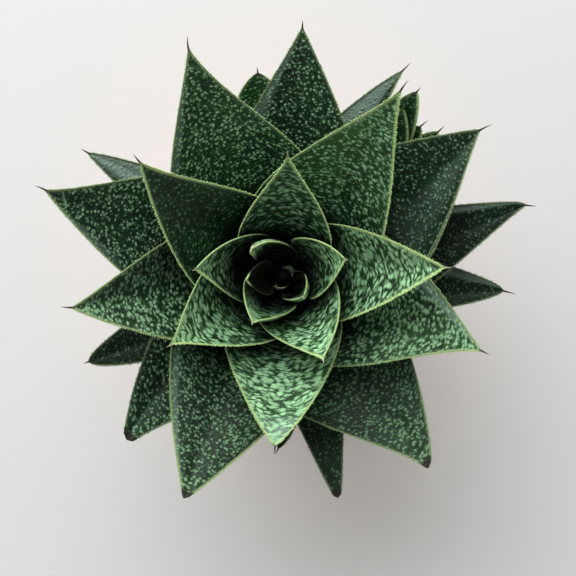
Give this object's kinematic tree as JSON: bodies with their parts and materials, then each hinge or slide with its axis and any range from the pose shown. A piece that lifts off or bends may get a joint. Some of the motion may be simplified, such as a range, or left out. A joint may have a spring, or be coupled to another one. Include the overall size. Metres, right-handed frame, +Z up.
{
  "type": "potted gasteraloe",
  "caption": "Rosette of thick pointed succulent leaves with fine-toothed margins and dark awns, with small offsets beside its main stem, growing in a tapered terracotta pot.",
  "frame": {"origin": "on the ground, below the centre of the object's box; the pot's axis passes through it", "axes": "+Z up along the pot's axis; the camera of the picture looks down along -Z with +Y at the top of the picture"},
  "size_m": [0.1796, 0.1736, 0.1555],
  "materials": {
    "leaf": "satin",
    "offset": "satin",
    "stem": "matte",
    "soil": "matte",
    "pot": "matte"
  },
  "bodies": {
    "root": {"leaf_01": "leaf", "leaf_02": "leaf", "leaf_03": "leaf", "leaf_04": "leaf", "leaf_05": "leaf", "leaf_06": "leaf", "leaf_07": "leaf", "leaf_08": "leaf", "leaf_09": "leaf", "leaf_10": "leaf", "leaf_11": "leaf", "leaf_12": "leaf", "leaf_13": "leaf", "leaf_14": "leaf", "leaf_15": "leaf", "leaf_16": "leaf", "leaf_17": "leaf", "leaf_18": "leaf", "leaf_19": "leaf", "leaf_20": "leaf", "leaf_21": "leaf", "leaf_22": "leaf", "leaf_23": "leaf", "leaf_24": "leaf", "leaf_25": "leaf", "leaf_26": "leaf", "leaf_27": "leaf", "leaf_28": "leaf", "leaf_29": "leaf", "leaf_30": "leaf", "leaf_31": "leaf", "leaf_32": "leaf", "offset_left": "offset", "offset_right": "offset", "stem": "stem", "soil": "soil", "pot": "pot"}
  },
  "joints": []
}
